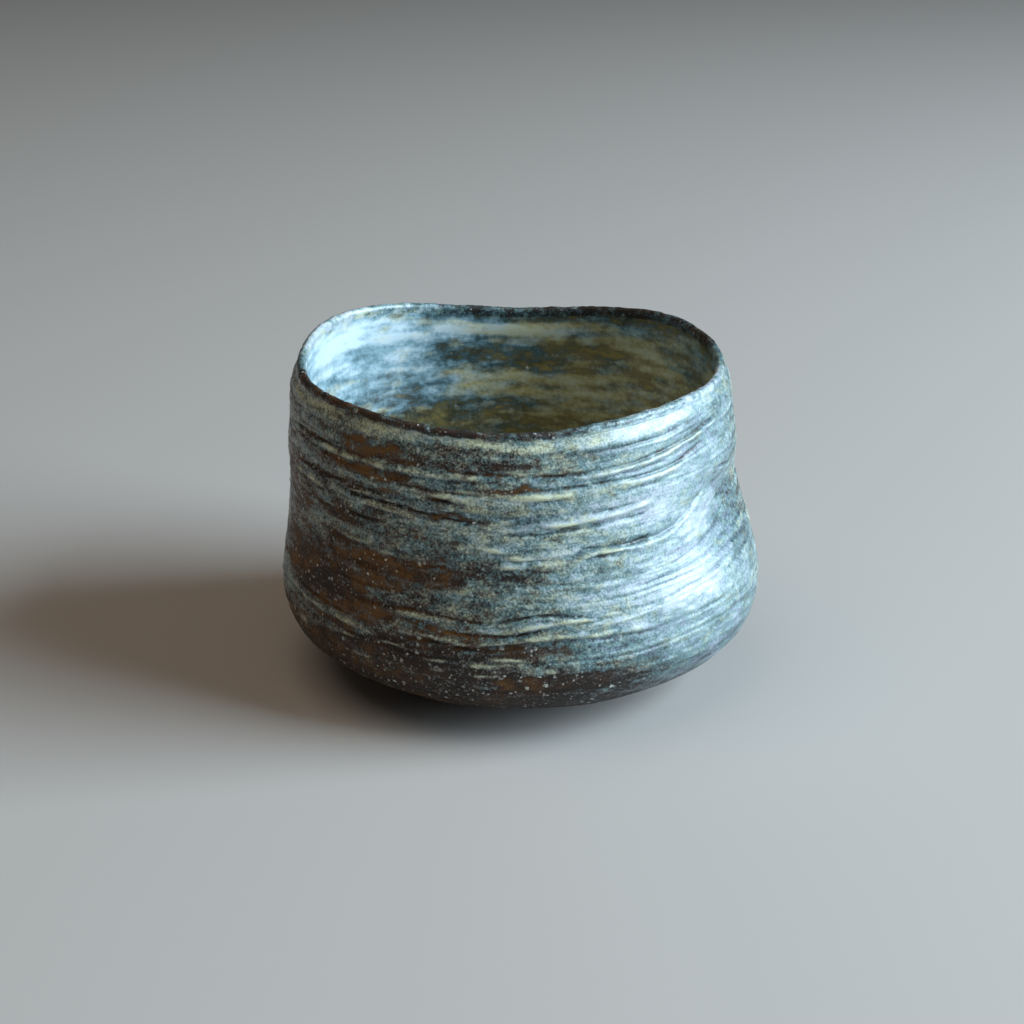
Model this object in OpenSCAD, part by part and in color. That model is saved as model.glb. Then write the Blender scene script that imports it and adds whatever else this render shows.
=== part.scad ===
// Hand-formed tea bowl: a stoneware body on a luted foot ring, with a glaze coat outside and inside.
// The origin is the foot's centre on the table and +Z is up. The front of the bowl faces -Y.
// Angles run from +X towards +Y, so 270 is the front.

/* [Bowl] */
// Mean height of the lip above the table
lip_h = 78.8; // [70:0.1:95]
// Diameter of the clay at the lip
lip_d = 106.4; // [90:0.1:125]
// Diameter of the clay at the waist, where the wall starts to draw in
waist_d = 111.6; // [95:0.1:130]
// Height of the waist above the table
waist_h = 55.5; // [45:0.1:65]
// Diameter of the clay at the belly, the widest part
belly_d = 118.8; // [100:0.1:140]
// Height of the belly above the table
belly_h = 23; // [19:0.1:32]
// Fullness of the underside's curve: 2 is an ellipse, more is squarer
underside_fullness = 2.2; // [1.8:0.05:3]

/* [Clay] */
// Thickness of the clay at the lip, which is fully rounded
lip_t = 2.2; // [1.6:0.1:4]
// Thickness of the clay at the belly
wall_t = 4.4; // [3:0.1:8]
// Thickness of the floor over the foot ring
floor_t = 6; // [4:0.1:10]
// Diameter of the flat pool in the middle of the floor
pool_d = 24; // [10:0.5:40]

/* [Foot ring] */
// Outside diameter of the foot ring
foot_d = 50; // [36:0.1:64]
// Height of the foot ring
foot_h = 4; // [2.5:0.1:8]
// Width of the foot ring's clay
foot_w = 5.5; // [4:0.1:9]
// Radius of the foot ring's two standing edges
foot_edge_r = 1.2; // [0.4:0.1:1.8]
// Width of the bowl's flat seat outside the foot ring
seat_margin = 1.5; // [0.5:0.1:4]

/* [Glaze] */
// Thickness of the outer glaze coat
outer_glaze_t = 0.6; // [0.3:0.05:1.2]
// Thickness of the inner glaze coat
inner_glaze_t = 0.5; // [0.3:0.05:1.2]
// Bare clay left between the outer glaze and the rounded lip
outer_bare_lip = 0.8; // [0.2:0.1:4]
// Bare clay left between the inner glaze and the rounded lip
inner_bare_lip = 0.4; // [0.2:0.1:4]
// Bare clay left between the outer glaze and the foot's seat
bare_seat_w = 3; // [1:0.1:8]

/* [Hand forming of the wall] */
// How far the lip leans over the foot to the right
lean_x = -3.4; // [-6:0.1:6]
// How far the lip leans over the foot to the back
lean_y = 1.2; // [-6:0.1:6]
// Depth of the lip's oval in plan
oval_depth = 0.4; // [0:0.05:2]
// Angle of the oval's long axis
oval_angle = -54; // [-180:1:180]
// Depth of the lip's three soft corners in plan
three_corner_depth = 1.2; // [0:0.05:3]
// Angle of one of the three corners
three_corner_angle = 16; // [-180:1:180]
// Depth of the lip's four soft corners in plan
four_corner_depth = 0.75; // [0:0.05:3]
// Angle of one of the four corners
four_corner_angle = 40; // [-180:1:180]
// Depth of the thumb dent on the right
dent_depth = 4.3; // [0:0.1:7]
// Angle of the thumb dent
dent_angle = 341; // [0:1:360]
// Height of the thumb dent above the table
dent_h = 47.6; // [38:0.1:60]
// Half of the thumb dent's width, as an angle
dent_half_angle = 21.5; // [12:0.5:40]
// Half of the thumb dent's height
dent_half_h = 8.6; // [5:0.1:14]

/* [Lip line] */
// Rise of the lip's tilt
tilt_rise = 0.75; // [0:0.05:3]
// Angle of the tilt's high side
tilt_angle = 111; // [-180:1:180]
// Rise of the lip's two waves
two_wave_rise = 0.75; // [0:0.05:3]
// Angle of a crest of the two waves
two_wave_angle = 0; // [-180:1:180]
// Rise of the lip's three waves
three_wave_rise = 0.5; // [0:0.05:3]
// Angle of a crest of the three waves
three_wave_angle = 30; // [-180:1:180]
// Rise of the lip's four waves
four_wave_rise = 0.95; // [0:0.05:3]
// Angle of a crest of the four waves
four_wave_angle = 45; // [-180:1:180]

/* [Hidden] */

clay_colour = [0.26, 0.16, 0.10];
foot_colour = [0.33, 0.22, 0.15];
outer_glaze_colour = [0.50, 0.57, 0.58];
inner_glaze_colour = [0.40, 0.45, 0.42];

// Points around each ring, and rings up each stretch of the surface
around = 60;
underside_steps = 8;
wall_steps = 10;
floor_steps = 7;
lip_steps = 4;

belly_r = belly_d / 2;
seat_r = foot_d / 2 + seat_margin;
floor_h = foot_h + floor_t;
pool_r = pool_d / 2;

// A soft step from 0 to 1 as t goes from 0 to 1
function ease(t) = (1 - cos(180 * max(0, min(1, t)))) / 2;

// A bell of height 1 that falls away past one half width
function bell(t) = exp(-t * t);

// The signed difference between two angles, from -180 to 180
function angle_gap(a, b) = let (d = (a - b + 180) % 360) (d < 0 ? d + 360 : d) - 180;

// Height of the lip's top at an angle
function lip_z(a) =
    lip_h
    + tilt_rise * cos(a - tilt_angle)
    + two_wave_rise * cos(2 * (a - two_wave_angle))
    + three_wave_rise * cos(3 * (a - three_wave_angle))
    + four_wave_rise * cos(4 * (a - four_wave_angle));

// Height where the lip's rounding starts, and where each glaze stops below it
function lip_base_z(a) = lip_z(a) - lip_t / 2;
function outer_glaze_z(a) = lip_base_z(a) - outer_bare_lip;
function inner_glaze_z(a) = lip_base_z(a) - inner_bare_lip;

// How far the hand has pushed the round wall out at an angle and a height
function hand_share(z) = ease((z - belly_h) / (lip_h - belly_h));
function hand_push(a, z) =
    hand_share(z) * (
        oval_depth * cos(2 * (a - oval_angle))
        + three_corner_depth * cos(3 * (a - three_corner_angle))
        + four_corner_depth * cos(4 * (a - four_corner_angle))
    )
    - dent_depth * bell(angle_gap(a, dent_angle) / dent_half_angle) * bell((z - dent_h) / dent_half_h);

// A point of the hand-formed bowl, from its round radius and height
function formed(a, r, z) =
    let (pushed = r + hand_push(a, z), share = hand_share(z))
    [pushed * cos(a) + share * lean_x, pushed * sin(a) + share * lean_y, z];

// One ring of formed points, at a radius and a height that may change with the angle
function ring(r_at, z_at) =
    [for (i = [0 : around - 1]) let (a = 360 * i / around, z = z_at(a)) formed(a, r_at(a, z), z)];

// Round radius of the clay's outside above the belly
function wall_r(z) =
    z < waist_h
    ? belly_r + (waist_d / 2 - belly_r) * ease((z - belly_h) / (waist_h - belly_h))
    : waist_d / 2 + (lip_d - waist_d) / 2 * pow((z - waist_h) / (lip_h - waist_h), 2);

// Thickness of the clay above the belly
function clay_t(a, z) = wall_t + (lip_t - wall_t) * ease((z - belly_h) / (lip_base_z(a) - belly_h));

// Heights of the rings from the belly up to a top line
function wall_heights(top) =
    [for (i = [1 : wall_steps]) function (a) belly_h + (top(a) - belly_h) * i / wall_steps];

// Where the outer glaze starts on the underside's curve, which runs from 0 at the seat to 1 at the belly
glaze_start = asin(pow(bare_seat_w / (belly_r - seat_r), underside_fullness / 2)) / 90;
underside_turns = [for (i = [0 : underside_steps]) glaze_start + (1 - glaze_start) * i / underside_steps];

// A ring of the underside's curve, laid on by a coat of thickness t
function underside_ring(u, t = 0) =
    let (
        out = pow(sin(90 * u), 2 / underside_fullness),
        down = pow(cos(90 * u), 2 / underside_fullness),
        r = seat_r + (belly_r + t - seat_r) * out,
        z = belly_h - (belly_h - foot_h + t) * down
    )
    ring(function (a, h) r, function (a) z);

// A ring of the floor's curve, from 0 at the pool to 1 at the belly, laid on by a coat of thickness t
function floor_ring(u, t = 0) =
    let (
        out = pow(sin(90 * u), 2 / underside_fullness),
        down = pow(cos(90 * u), 2 / underside_fullness),
        r = pool_r + (belly_r - wall_t - t - pool_r) * out,
        z = belly_h - (belly_h - floor_h - t) * down
    )
    ring(function (a, h) r, function (a) z);

// The glazed stretch of the outside, from the seat's bare band up to the lip's bare band
function outside_rings(t = 0) = concat(
    [for (u = underside_turns) underside_ring(u, t)],
    [for (height = wall_heights(function (a) outer_glaze_z(a))) ring(function (a, z) wall_r(z) + t, height)]
);

// The glazed stretch of the inside, from the floor's pool up to the lip's bare band
function inside_rings(t = 0) = concat(
    [for (i = [0 : floor_steps]) floor_ring(i / floor_steps, t)],
    [
        for (height = wall_heights(function (a) inner_glaze_z(a)))
            ring(function (a, z) wall_r(z) - clay_t(a, z) - t, height)
    ]
);

// The half-round lip, from the outside over the top to the inside
function lip_rings() = [
    for (i = [0 : lip_steps])
        let (turn = 180 * i / lip_steps)
        ring(
            function (a, z) wall_r(lip_base_z(a)) - lip_t / 2 + lip_t / 2 * cos(turn),
            function (a) lip_base_z(a) + lip_t / 2 * sin(turn)
        )
];

function reversed(list) = [for (i = [len(list) - 1 : -1 : 0]) list[i]];

// A closed solid through a stack of rings. A looped stack joins its last ring to its first,
// and any other has its end rings closed flat.
module skin(rings, looped = false) {
    count = len(rings);
    last = looped ? count - 1 : count - 2;
    walls = [
        for (i = [0 : last], j = [0 : around - 1])
            let (
                k = (j + 1) % around,
                low = i * around,
                high = ((i + 1) % count) * around
            )
            each [[low + j, high + k, low + k], [low + j, high + j, high + k]]
    ];
    ends = looped ? [] : [
        [for (j = [0 : around - 1]) j],
        [for (j = [around - 1 : -1 : 0]) (count - 1) * around + j]
    ];
    polyhedron(points = [for (one = rings) each one], faces = concat(walls, ends), convexity = 6);
}

// The bowl's fired clay: seat, underside, wall, lip and floor in one piece
module clay_body() {
    color(clay_colour)
        skin(concat([underside_ring(0)], outside_rings(), lip_rings(), reversed(inside_rings())));
}

// The foot ring, which stands on the table and carries the bowl's seat
module foot_ring() {
    outer = foot_d / 2;
    inner = outer - foot_w;
    color(foot_colour)
        rotate_extrude() {
            translate([inner, foot_edge_r]) square([foot_w, foot_h - foot_edge_r]);
            translate([inner + foot_edge_r, 0]) square([foot_w - 2 * foot_edge_r, foot_h]);
            for (edge = [inner + foot_edge_r, outer - foot_edge_r])
                translate([edge, foot_edge_r]) circle(foot_edge_r, $fn = 48);
        }
}

// The coat on the outside
module outer_glaze() {
    color(outer_glaze_colour)
        skin(concat(outside_rings(outer_glaze_t), reversed(outside_rings())), looped = true);
}

// The coat on the inside, down to the pool in the floor
module inner_glaze() {
    color(inner_glaze_colour)
        skin(concat(inside_rings(), reversed(inside_rings(inner_glaze_t))));
}

clay_body();
foot_ring();
outer_glaze();
inner_glaze();
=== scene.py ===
import logging
import math
import random
from dataclasses import dataclass, field, fields, replace
from enum import Enum
from typing import Dict, Iterable, List, Optional, Sequence, Tuple, Union

import bmesh
import bpy
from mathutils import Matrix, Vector, noise


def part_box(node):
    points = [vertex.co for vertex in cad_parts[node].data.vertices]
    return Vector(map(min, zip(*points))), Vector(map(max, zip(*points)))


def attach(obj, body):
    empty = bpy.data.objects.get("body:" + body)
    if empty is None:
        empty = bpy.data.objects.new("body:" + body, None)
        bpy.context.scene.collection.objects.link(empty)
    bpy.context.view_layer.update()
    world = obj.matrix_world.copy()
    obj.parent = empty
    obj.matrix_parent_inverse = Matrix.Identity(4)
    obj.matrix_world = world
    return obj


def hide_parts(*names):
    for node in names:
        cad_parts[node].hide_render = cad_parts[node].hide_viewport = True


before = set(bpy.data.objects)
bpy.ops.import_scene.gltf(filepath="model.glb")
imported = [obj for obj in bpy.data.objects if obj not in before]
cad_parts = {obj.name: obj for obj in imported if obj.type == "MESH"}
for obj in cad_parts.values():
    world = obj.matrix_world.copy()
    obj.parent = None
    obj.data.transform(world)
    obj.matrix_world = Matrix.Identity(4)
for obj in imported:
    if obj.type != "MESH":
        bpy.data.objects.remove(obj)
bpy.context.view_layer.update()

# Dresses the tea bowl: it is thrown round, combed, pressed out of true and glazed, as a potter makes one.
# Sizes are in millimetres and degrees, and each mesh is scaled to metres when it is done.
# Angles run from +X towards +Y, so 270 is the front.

LOG = logging.getLogger("tea_bowl")
MM = 0.001
BODY = "root"
# A smooth noise is 0 at whole numbers, so a coordinate that stays the same lies between them
OFF_GRID = 0.5
# The least share of working, which paints a spot and leaves it where it is
BARELY = 0.001

Colour = Tuple[float, float, float]
# A place on a ramp, from 0 to 1, and the colour there
Stop = Tuple[float, Colour]
# An angle and a height on the wall, or a radius and a height on a cut outline
Point = Tuple[float, float]
# The lowest and the highest of a set of values
Span = Tuple[float, float]
# How many crests go round the bowl, their size, and the angle of one of them
Wave = Tuple[int, float, float]


def limit(value: float, low: float, high: float) -> float:
    """Hold a value between two others."""
    return max(low, min(high, value))


def between(first: float, last: float, share: float) -> float:
    """Go a share of the way from one value to another."""
    return first + (last - first) * share


def steps(count: int) -> List[float]:
    """Give even shares from 0 to 1."""
    return [i / count for i in range(count + 1)]


def ease(t: float) -> float:
    """Give a soft step from 0 to 1 as t goes from 0 to 1."""
    return (1 - math.cos(math.pi * limit(t, 0.0, 1.0))) / 2


def bell(t: float) -> float:
    """Give a bell of height 1 that falls away past one half width."""
    return math.exp(-t * t)


def angle_gap(a: float, b: float) -> float:
    """Give the signed difference of two angles, from -180 to 180."""
    return (a - b + 180) % 360 - 180


def wave_sum(angle: float, waves: Iterable[Wave]) -> float:
    """Add up waves around the bowl at an angle."""
    return sum(size * math.cos(math.radians(count * (angle - crest))) for count, size, crest in waves)


class Node(str, Enum):
    """The CAD nodes that the pieces stand for."""

    CLAY = "clay_body"
    FOOT = "foot_ring"
    OUTER = "outer_glaze"
    INNER = "inner_glaze"


class Slot(str, Enum):
    """The record's material slots."""

    CLAY = "bare_clay"
    OUTER = "outer_glaze"
    INNER = "inner_glaze"


@dataclass(frozen=True)
class BowlForm:
    """The form of the bowl: its round profile, and how the hand has pressed it out of true."""

    # From the frame
    belly_d: float
    foot_d: float
    foot_h: float
    floor_t: float
    outer_glaze_t: float
    # The rest of the round profile
    inner_glaze_t: float = 0.5
    lip_h: float = 78.8
    lip_d: float = 106.4
    waist_d: float = 111.6
    waist_h: float = 55.5
    belly_h: float = 23.0
    fullness: float = 2.2
    lip_t: float = 2.2
    wall_t: float = 4.4
    pool_d: float = 24.0
    foot_w: float = 5.5
    foot_edge_r: float = 1.2
    seat_margin: float = 1.5
    # How far from the lip and from the seat the coats stop
    outer_bare_lip: float = 0.8
    inner_bare_lip: float = 0.4
    bare_seat_w: float = 3.0
    # The lean, the uneven plan, the wavy lip and the thumb dent
    lean_x: float = -3.4
    lean_y: float = 1.2
    plan_waves: Tuple[Wave, ...] = ((2, 0.4, -54), (3, 1.2, 16), (4, 0.75, 40))
    lip_waves: Tuple[Wave, ...] = ((1, 0.75, 111), (2, 0.75, 0), (3, 0.5, 30), (4, 0.95, 45))
    dent_depth: float = 4.3
    dent_angle: float = 341.0
    dent_h: float = 47.6
    dent_half_angle: float = 21.5
    dent_half_h: float = 8.6
    # How far the lip's edge wanders, each with how fine it is, and its one small nick
    lip_wanders: Tuple[Tuple[float, float], ...] = ((0.21, 7.0), (0.15, 19.0))
    rough_lip_h: float = 7.0
    nick_angle: float = 251.5
    nick_half_angle: float = 0.9
    nick_depth: float = 0.8

    @classmethod
    def from_frame(cls) -> "BowlForm":
        """Take the main sizes from the CAD nodes' boxes.

        Returns:
            The form, with its belly, foot and coats as the frame has them.
        """
        clay_low, clay_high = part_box(Node.CLAY.value)
        foot_low, foot_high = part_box(Node.FOOT.value)
        outer_low, outer_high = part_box(Node.OUTER.value)
        inner_low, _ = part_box(Node.INNER.value)
        belly_d = (clay_high.x - clay_low.x) / MM
        foot_h = foot_high.z / MM
        return cls(
            belly_d=belly_d,
            foot_d=(foot_high.x - foot_low.x) / MM,
            foot_h=foot_h,
            floor_t=inner_low.z / MM - foot_h,
            outer_glaze_t=((outer_high.x - outer_low.x) / MM - belly_d) / 2,
        )

    @property
    def belly_r(self) -> float:
        """Give the clay's radius at the belly."""
        return self.belly_d / 2

    @property
    def waist_r(self) -> float:
        """Give the clay's radius at the waist."""
        return self.waist_d / 2

    @property
    def pool_r(self) -> float:
        """Give the radius of the flat pool in the middle of the floor."""
        return self.pool_d / 2

    @property
    def seat_r(self) -> float:
        """Give the radius of the flat seat over the foot ring."""
        return self.foot_d / 2 + self.seat_margin

    @property
    def floor_h(self) -> float:
        """Give the height of the clay's floor inside."""
        return self.foot_h + self.floor_t

    @property
    def lip_base_h(self) -> float:
        """Give the height where the lip's rounding starts on the round bowl."""
        return self.lip_h - self.lip_t / 2

    @property
    def outer_top(self) -> float:
        """Give the height of the outer coat's edge."""
        return self.lip_base_h - self.outer_bare_lip

    @property
    def inner_top(self) -> float:
        """Give the height of the inner coat's edge."""
        return self.lip_base_h - self.inner_bare_lip

    @property
    def glaze_start(self) -> float:
        """Give the turn of the underside's curve where the outer coat starts."""
        share = self.bare_seat_w / (self.belly_r - self.seat_r)
        return math.asin(share ** (self.fullness / 2)) / (math.pi / 2)

    def heights(self, top: float, shares: Iterable[float]) -> List[float]:
        """Give the heights at shares of the way from the belly to a top."""
        return [between(self.belly_h, top, share) for share in shares]

    def lip_z(self, angle: float) -> float:
        """Give the height of the pressed lip at an angle."""
        return self.lip_h + wave_sum(angle, self.lip_waves)

    def lip_roughness(self, angle: float) -> float:
        """Give how far the lip's edge wanders up or down, with its one small nick.

        Args:
            angle: Angle around the bowl.

        Returns:
            The height over the smooth lip.
        """
        turn = math.radians(angle)
        place = Vector((math.cos(turn), math.sin(turn), OFF_GRID))
        wander = sum(rise * noise.noise(place * fineness) for rise, fineness in self.lip_wanders)
        return wander - self.nick_depth * bell(angle_gap(angle, self.nick_angle) / self.nick_half_angle)

    def wall_r(self, z: float) -> float:
        """Give the clay's outer radius above the belly.

        Args:
            z: Height on the round bowl.

        Returns:
            The radius.
        """
        if z < self.waist_h:
            step = ease((z - self.belly_h) / (self.waist_h - self.belly_h))
            return between(self.belly_r, self.waist_r, step)
        rise = (z - self.waist_h) / (self.lip_h - self.waist_h)
        return between(self.waist_r, self.lip_d / 2, rise**2)

    def inner_r(self, z: float) -> float:
        """Give the clay's inner radius at a height above the belly."""
        step = ease((z - self.belly_h) / (self.lip_base_h - self.belly_h))
        return self.wall_r(z) - between(self.wall_t, self.lip_t, step)

    def underside(self, turn: float, coat: float = 0.0) -> Point:
        """Give a point of the underside's curve.

        Args:
            turn: 0 at the seat and 1 at the belly.
            coat: Thickness laid on the clay.

        Returns:
            The radius and the height.
        """
        out, down = self._corner(turn)
        r = between(self.seat_r, self.belly_r + coat, out)
        return r, between(self.belly_h, self.foot_h - coat, down)

    def glazed_underside(self, share: float, coat: float = 0.0) -> Point:
        """Give a point of the underside at a share of the way from the coat's start to the belly."""
        return self.underside(between(self.glaze_start, 1.0, share), coat)

    def floor(self, turn: float, coat: float = 0.0) -> Point:
        """Give a point of the floor's curve.

        Args:
            turn: 0 at the pool in the middle and 1 at the belly.
            coat: Thickness laid on the clay.

        Returns:
            The radius and the height.
        """
        out, down = self._corner(turn)
        r = between(self.pool_r, self.belly_r - self.wall_t - coat, out)
        return r, between(self.belly_h, self.floor_h + coat, down)

    def _corner(self, turn: float) -> Tuple[float, float]:
        """Follow the curve of a full corner.

        Args:
            turn: 0 at its low end and 1 at its high end.

        Returns:
            How far out and how far down the curve is.
        """
        quarter = turn * math.pi / 2
        power = 2 / self.fullness
        return max(0.0, math.sin(quarter)) ** power, max(0.0, math.cos(quarter)) ** power

    def press(self, angle: float, r: float, z: float) -> Vector:
        """Move a point of the round bowl to its place on the pressed bowl.

        Args:
            angle: Angle around the bowl.
            r: Radius on the round bowl.
            z: Height on the round bowl.

        Returns:
            The pressed point.
        """
        if z > self.belly_h:
            stretch = (self.lip_z(angle) - self.belly_h) / (self.lip_h - self.belly_h)
            pressed_z = between(self.belly_h, z, stretch)
            r += self.wall_r(pressed_z) - self.wall_r(z)
            near_lip = ease((z - self.lip_h) / self.rough_lip_h + 1)
            z = pressed_z + self.lip_roughness(angle) * near_lip**3
        share = ease((z - self.belly_h) / (self.lip_h - self.belly_h))
        r += share * wave_sum(angle, self.plan_waves)
        aside = angle_gap(angle, self.dent_angle) / self.dent_half_angle
        r -= self.dent_depth * bell(aside) * bell((z - self.dent_h) / self.dent_half_h)
        turn = math.radians(angle)
        x, y = r * math.cos(turn), r * math.sin(turn)
        return Vector((x + share * self.lean_x, y + share * self.lean_y, z))


@dataclass(frozen=True)
class Spot:
    """A place on the round bowl, before it is pressed."""

    angle: float
    height: float
    x: float
    y: float

    @classmethod
    def of(cls, place: Vector) -> "Spot":
        """Find the spot of a point."""
        return cls(math.degrees(math.atan2(place.y, place.x)) % 360, place.z, place.x, place.y)

    @property
    def r(self) -> float:
        """Give the radius."""
        return math.hypot(self.x, self.y)

    def level(self) -> "Spot":
        """Give the spot straight below at height 0, where a noise is the same for the whole wall above."""
        return replace(self, height=0.0)

    def noise(self, across: float, up: float, seed: float) -> float:
        """Give a smooth noise there, from about -1 to 1.

        Args:
            across: Size of the noise along the wall.
            up: Size of the noise up the wall.
            seed: Offset that makes one noise unlike another.

        Returns:
            The noise.
        """
        place = (self.x / across + seed, self.y / across - seed, self.height / up + 2 * seed)
        return noise.noise(Vector(place))


@dataclass(frozen=True)
class Cloud:
    """A smooth unevenness of a wall: how strong it is, its size along and up the wall, and its seed."""

    amount: float
    across: float
    up: float
    seed: float

    def at(self, spot: Spot) -> float:
        """Give the unevenness at a spot, from about minus to plus its amount."""
        return self.amount * spot.noise(self.across, self.up, self.seed)


def cloud_sum(clouds: Iterable[Cloud], spot: Spot) -> float:
    """Add up clouds at a spot."""
    return sum(cloud.at(spot) for cloud in clouds)


@dataclass(frozen=True)
class Coat:
    """What lies at a spot: the glaze's thickness and warmth, the clay's rust, the grit, and their calm."""

    glaze: float = 0.0
    warmth: float = 0.0
    rust: float = 0.0
    grit: float = 0.0
    calm: float = 0.0

    def plus(self, other: "Coat", share: float = 1.0) -> "Coat":
        """Add a share of another coat.

        Args:
            other: The coat to add.
            share: How much of it.

        Returns:
            The sum.
        """
        return Coat(
            self.glaze + share * other.glaze,
            self.warmth + share * other.warmth,
            self.rust + share * other.rust,
            self.grit + share * other.grit,
            self.calm + share * other.calm,
        )

    def towards(self, other: "Coat", share: float) -> "Coat":
        """Go a share of the way to another coat."""
        return self.plus(self, -share).plus(other, share)


@dataclass(frozen=True)
class Touch:
    """How a worked surface is at one spot: how far it stands out, and the coat on it."""

    rise: float
    coat: Coat


@dataclass(frozen=True)
class Crossing:
    """Where a combed line crosses an angle: its height there, its strength and its half width."""

    line: "CombedLine"
    height: float
    strength: float
    half_width: float


@dataclass(frozen=True)
class CombedLine:
    """A long line of the comb on the outside: a groove, or a ridge that the glaze pools on."""

    points: Tuple[Point, ...]
    rise: float
    half_width: float
    glaze: float
    warmth: float
    # An opposite line along the lower side, with its place and width in half widths: under a raised line a
    # dip whose thinner glaze is painted shade, under a sunk line a raised burr
    underside: float = 0.0
    underside_gap: float = 1.9
    underside_width: float = 0.9
    calm: float = 1.0
    fade: float = 5.0
    # How far the line wanders, with the length of its sways and of its shivers
    wander: float = 0.22
    sway_length: float = 6.0
    shiver: float = 0.5
    shiver_length: float = 2.1
    uneven_width: float = 0.4
    width_length: float = 5.0
    usual_strength: float = 0.95
    uneven_strength: float = 0.6
    strengths: Span = (0.4, 1.0)

    def at(self, angle: float) -> Optional[Crossing]:
        """Find the line at an angle.

        Args:
            angle: Angle around the bowl.

        Returns:
            The line's crossing there, or nothing past its ends.
        """
        (first, seed), last = self.points[0], self.points[-1][0]
        along = (angle - first) % 360
        left = last - first - along
        if along <= 0 or left <= 0:
            return None
        # Each noise has a row of its own, off the grid
        sway = noise.noise(Vector((along / self.sway_length, seed, 0.5)))
        sway += self.shiver * noise.noise(Vector((along / self.shiver_length, seed, 4.5)))
        wide = self.uneven_width * noise.noise(Vector((along / self.width_length, 3.5, seed)))
        strong = self.uneven_strength * noise.noise(Vector((along / self.sway_length, 7.5, seed)))
        ends = ease(min(along, left) / self.fade)
        return Crossing(
            self,
            height=self._height(first + along) + self.wander * sway,
            strength=ends * limit(self.usual_strength + strong, *self.strengths),
            half_width=self.half_width * (1 + wide),
        )

    def profile(self, aside: float) -> float:
        """Give the line's share beside its middle, where aside counts half widths upwards."""
        return bell(aside) - self.underside * bell((aside + self.underside_gap) / self.underside_width)

    def _height(self, angle: float) -> float:
        """Follow a smooth curve through the points.

        Args:
            angle: Angle around the bowl, from the first point's to the last point's.

        Returns:
            The curve's height.
        """
        spans = range(len(self.points) - 1)
        span = next(i for i in spans if angle <= self.points[i + 1][0] or i == spans[-1])
        (a0, h0), (a1, h1) = self.points[span], self.points[span + 1]
        t = (angle - a0) / (a1 - a0)
        start, end = ((a1 - a0) * self._slope(i) for i in (span, span + 1))
        back = 1 - t
        return h0 * (1 + 2 * t) * back**2 + h1 * (3 - 2 * t) * t**2 + start * t * back**2 - end * back * t**2

    def _slope(self, index: int) -> float:
        """Give the curve's slope at one of the points.

        Args:
            index: Which point it is.

        Returns:
            The slope between the points beside it.
        """
        before, after = max(0, index - 1), min(len(self.points) - 1, index + 1)
        (a0, h0), (a1, h1) = self.points[before], self.points[after]
        return (h1 - h0) / (a1 - a0)


def ridge(*points: Point, strength: float = 1.0) -> CombedLine:
    """Make a ridge that thick cream glaze lies on, with a dip under it whose thinner glaze is painted shade.

    Args:
        points: The angles and heights that it runs through.
        strength: How strong it is beside a usual one.

    Returns:
        The line.
    """
    return CombedLine(
        points, rise=0.42 * strength, half_width=0.58, glaze=0.34 * strength, warmth=0.8, underside=0.55
    )


def groove(*points: Point, strength: float = 1.0) -> CombedLine:
    """Make a groove that the glaze has run out of, with a burr under it.

    Args:
        points: The angles and heights that it runs through.
        strength: How strong it is beside a usual one.

    Returns:
        The line.
    """
    return CombedLine(
        points, rise=-0.48 * strength, half_width=0.40, glaze=-0.44 * strength, warmth=-0.3, underside=0.25
    )


def crease(*points: Point) -> CombedLine:
    """Make a deep crease where the wall has folded."""
    return CombedLine(points, rise=-0.95, half_width=0.65, glaze=-0.36, warmth=-0.5, underside=0.3)


def fold(*points: Point, rise: float = 0.6, glaze: float = 0.12) -> CombedLine:
    """Make a broad soft fold of the pressed wall, with its glaze painted lighter as highlight where it rises
    and darker as shade where it sinks.
    """
    return CombedLine(points, rise=rise, half_width=2.6, glaze=glaze, warmth=-0.2, calm=0.0, fade=9.0)


def dab(*points: Point) -> CombedLine:
    """Make a short run of thick cream glaze over bare clay, with a faint dip under it whose thinner glaze is
    painted shade.
    """
    return CombedLine(points, rise=0.28, half_width=0.40, glaze=0.62, warmth=0.8, underside=0.2, fade=3.0)


@dataclass(frozen=True)
class LineScatter:
    """A scatter of lines over a stretch of the wall, each a groove with a ridge along it."""

    first: float
    last: float
    count: int
    strength: float
    seed: int
    heights: Span = (20.0, 75.0)
    lengths: Span = (16.0, 52.0)
    tilts: Span = (-2.0, 2.0)
    bows: Span = (-0.9, 0.9)
    gaps: Span = (0.9, 1.4)
    depths: Span = (0.5, 1.1)

    def lines(self) -> List[CombedLine]:
        """Draw the lines, which come out the same each time.

        Returns:
            The lines.
        """
        draw = random.Random(self.seed)
        lines: List[CombedLine] = []
        for row in range(self.count):
            start = draw.uniform(self.first, self.last)
            length = draw.uniform(*self.lengths)
            low = between(*self.heights, (row + draw.random()) / self.count)
            tilt = draw.uniform(*self.tilts)
            bow = draw.uniform(*self.bows)
            side = draw.choice((-1, 1)) * draw.uniform(*self.gaps)
            path = [(start, low), (start + length / 2, low + tilt / 2 + bow), (start + length, low + tilt)]
            depth = self.strength * draw.uniform(*self.depths)
            lines.append(groove(*path, strength=depth))
            lines.append(ridge(*((angle, height + side) for angle, height in path), strength=depth))
        return lines


@dataclass(frozen=True)
class CoatPatch:
    """A soft patch on the wall that changes the coat."""

    angle: float
    height: float
    half_angle: float
    half_height: float
    change: Coat
    # How many half heights away it ends
    edge: float = 2.5

    def at(self, angle: float, height: float) -> float:
        """Give the patch's share at a point.

        Args:
            angle: Angle around the bowl.
            height: Height on the round bowl.

        Returns:
            1 in the patch's middle and 0 past its edge above and below.
        """
        up = (height - self.height) / self.half_height
        if abs(up) > self.edge:
            return 0.0
        return bell(angle_gap(angle, self.angle) / self.half_angle) * bell(up)


# The share of a patch that is too faint to show
FAINT = 0.01


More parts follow.
